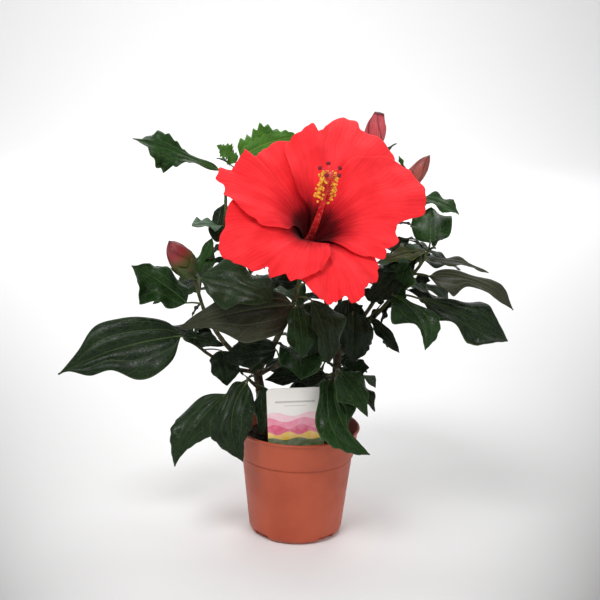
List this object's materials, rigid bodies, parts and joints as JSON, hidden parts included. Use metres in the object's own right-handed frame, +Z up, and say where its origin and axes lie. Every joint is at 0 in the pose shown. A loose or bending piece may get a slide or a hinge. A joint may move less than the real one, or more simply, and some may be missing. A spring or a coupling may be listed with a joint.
{
  "type": "potted hibiscus shrub",
  "caption": "Young hibiscus shrub with forked woody stems, broad glossy leaves, a wide open red bloom, furled buds and a plain plant label, in a round plastic pot.",
  "frame": {"origin": "middle of the pot's flat underside, on the surface that it stands on", "axes": "+Z up, +X to the viewer's right, +Y away from the viewer, towards whom the bloom faces"},
  "size_m": [0.421, 0.3282, 0.4047],
  "materials": {
    "pot": "satin terracotta-coloured plastic",
    "soil": "moist dark peat",
    "label": "smooth printed card",
    "bark": "fine grey-brown bark",
    "leaf": "glossy dark green leaf",
    "petal": "soft scarlet petal",
    "column": "smooth red, with yellow anthers",
    "bud": "furled dark red petals",
    "calyx": "matt green"
  },
  "bodies": {
    "root": {"pot": "pot", "soil": "soil", "label": "label", "trunk_left": "bark", "trunk_right": "bark", "bough_left": "bark", "bough_left_low": "bark", "bough_upper_left": "bark", "bough_bloom": "bark", "bough_back_left": "bark", "bough_right": "bark", "bough_upper_right": "bark", "bough_upper_back": "bark", "bough_back": "bark", "bough_back_right": "bark", "petal_1": "petal", "petal_2": "petal", "petal_3": "petal", "petal_4": "petal", "petal_5": "petal", "bloom_column": "column", "bloom_calyx": "calyx", "bud_left": "bud", "bud_left_calyx": "calyx", "bud_back": "bud", "bud_back_calyx": "calyx", "bud_right": "bud", "bud_right_calyx": "calyx", "leaves_left": "leaf", "leaves_left_low": "leaf", "leaves_foot_left": "leaf", "leaves_bloom": "leaf", "leaves_centre_low": "leaf", "leaves_foot_right": "leaf", "leaves_right_low": "leaf", "leaves_right": "leaf", "leaves_upper_right": "leaf", "leaves_upper_left": "leaf", "leaves_upper_back": "leaf", "leaves_back_left": "leaf", "leaves_back": "leaf", "leaves_back_right": "leaf", "leaves_back_low": "leaf"}
  },
  "joints": []
}
